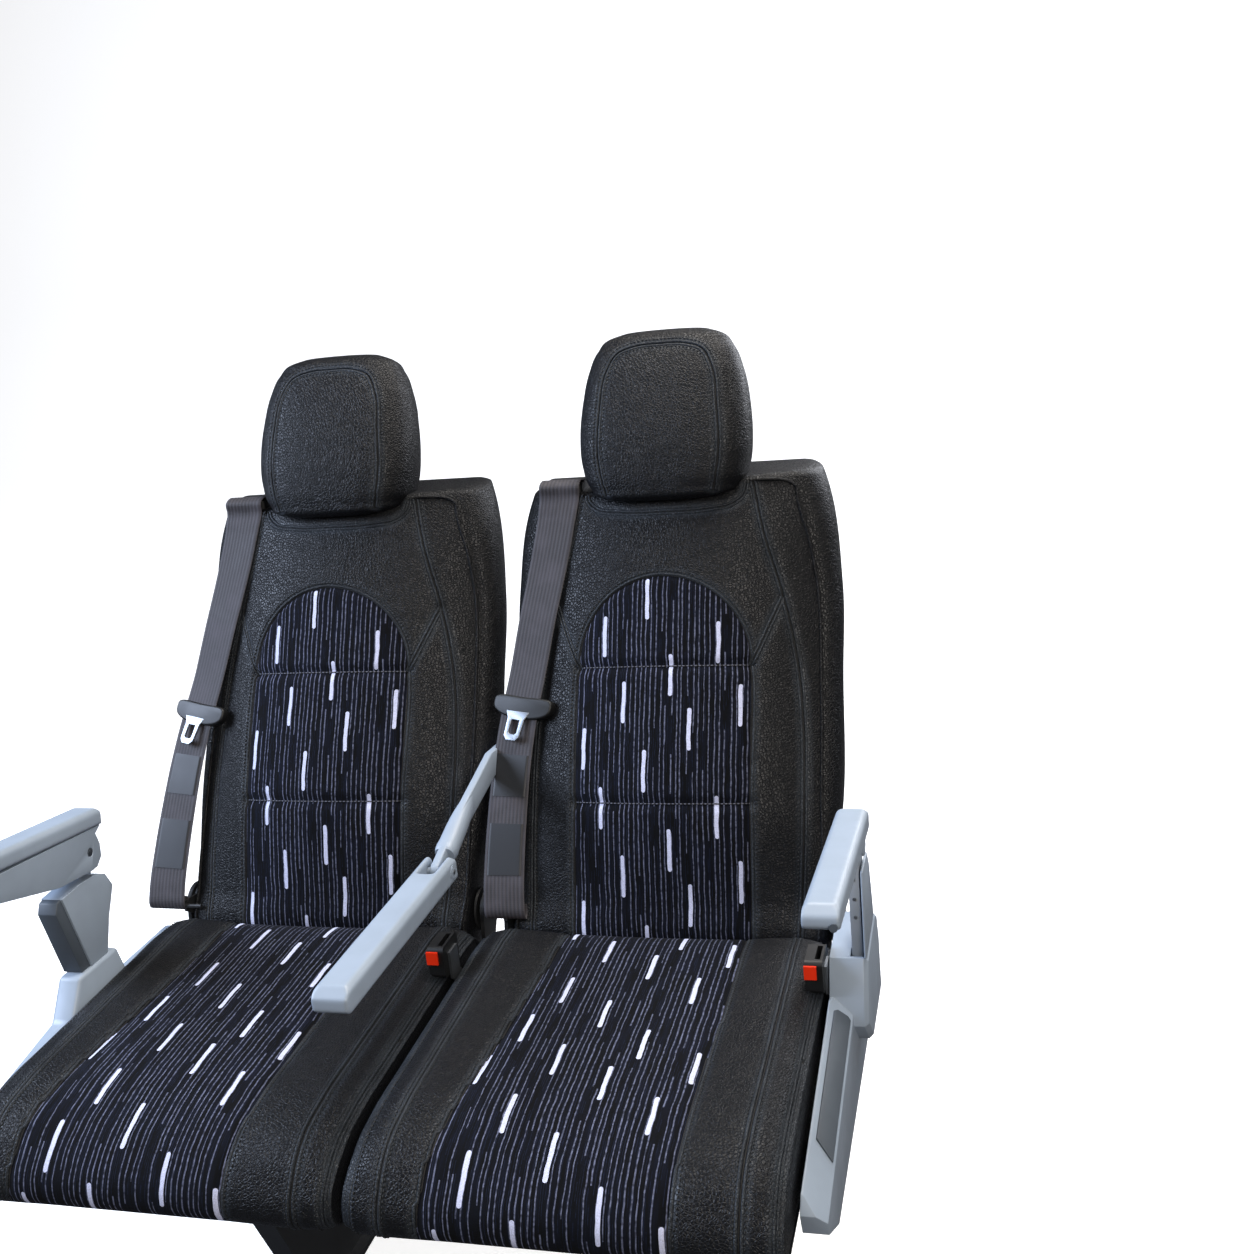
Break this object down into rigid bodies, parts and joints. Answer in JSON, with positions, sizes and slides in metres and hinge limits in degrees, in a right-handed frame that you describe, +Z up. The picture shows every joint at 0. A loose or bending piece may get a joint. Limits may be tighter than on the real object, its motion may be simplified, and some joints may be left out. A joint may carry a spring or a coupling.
{
  "type": "twin passenger seat",
  "caption": "Twin reclining coach seat in black leather with patterned inserts, headrests, shoulder belts and three fold-up armrests.",
  "frame": {"origin": "on the floor at the centre of the four floor bolts", "axes": "+X towards the aisle, +Y towards the rear of the seat (the sitter faces -Y), +Z up"},
  "size_m": [0.99, 0.8332, 1.1929],
  "materials": {
    "leather": "fine pebble grain",
    "webbing": "ribbed",
    "black_plastic": "fine texture",
    "steel": "brushed",
    "red_button": "moulded",
    "frame_paint": "satin powder coat",
    "dark_trim": "fine texture",
    "grey_plastic": "satin moulded"
  },
  "bodies": {
    "frame": {"aisle_arm_post": "steel", "aisle_buckle": "black_plastic", "aisle_buckle_button": "red_button", "aisle_buckle_stalk": "steel", "aisle_cushion": "leather", "aisle_cushion_pan": "frame_paint", "aisle_floor_leg": "frame_paint", "aisle_post_cover": "grey_plastic", "aisle_recline_plate_left": "frame_paint", "aisle_recline_plate_right": "frame_paint", "aisle_shroud": "grey_plastic", "aisle_shroud_insert": "dark_trim", "front_cross_tube": "frame_paint", "rear_cross_tube": "frame_paint", "window_arm_post": "grey_plastic", "window_buckle": "black_plastic", "window_buckle_button": "red_button", "window_buckle_stalk": "steel", "window_cushion": "leather", "window_cushion_pan": "frame_paint", "window_floor_leg": "frame_paint", "window_post_trim": "dark_trim", "window_recline_plate_left": "frame_paint", "window_recline_plate_right": "frame_paint", "window_shroud": "grey_plastic"},
    "back_window": {"window_back_pad": "leather", "window_back_shell": "dark_trim", "window_belt_guide": "black_plastic", "window_belt_webbing": "webbing", "window_headrest": "leather", "window_literature_pocket": "dark_trim", "window_recline_hub_left": "frame_paint", "window_recline_hub_right": "frame_paint", "window_tongue_grip": "black_plastic", "window_tongue_plate": "steel", "centre_arm_bracket": "grey_plastic"},
    "back_aisle": {"aisle_back_pad": "leather", "aisle_back_shell": "dark_trim", "aisle_belt_guide": "black_plastic", "aisle_belt_webbing": "webbing", "aisle_headrest": "leather", "aisle_literature_pocket": "dark_trim", "aisle_recline_hub_left": "frame_paint", "aisle_recline_hub_right": "frame_paint", "aisle_tongue_grip": "black_plastic", "aisle_tongue_plate": "steel"},
    "arm_centre": {"centre_arm_pad": "grey_plastic"},
    "arm_aisle": {"aisle_arm_pad": "grey_plastic", "aisle_arm_button": "dark_trim"},
    "arm_window": {"window_arm_pad": "grey_plastic", "window_arm_block": "grey_plastic"}
  },
  "joints": [
    {"name": "window_recline", "type": "hinge", "parent": "frame", "child": "back_window", "pos_m": [-0.231, 0.13, 0.47], "axis": [-1, 0, 0], "range_deg": [0, 18]},
    {"name": "aisle_recline", "type": "hinge", "parent": "frame", "child": "back_aisle", "pos_m": [0.231, 0.13, 0.47], "axis": [-1, 0, 0], "range_deg": [0, 18]},
    {"name": "centre_arm_lift", "type": "hinge", "parent": "back_window", "child": "arm_centre", "pos_m": [0, -0.045, 0.611], "axis": [-1, 0, 0], "range_deg": [0, 100]},
    {"name": "aisle_arm_lift", "type": "hinge", "parent": "frame", "child": "arm_aisle", "pos_m": [0.482, -0.008, 0.636], "axis": [-1, 0, 0], "range_deg": [0, 84]},
    {"name": "window_arm_lift", "type": "hinge", "parent": "frame", "child": "arm_window", "pos_m": [-0.47, -0.062, 0.636], "axis": [-1, 0, 0], "range_deg": [0, 78]}
  ]
}
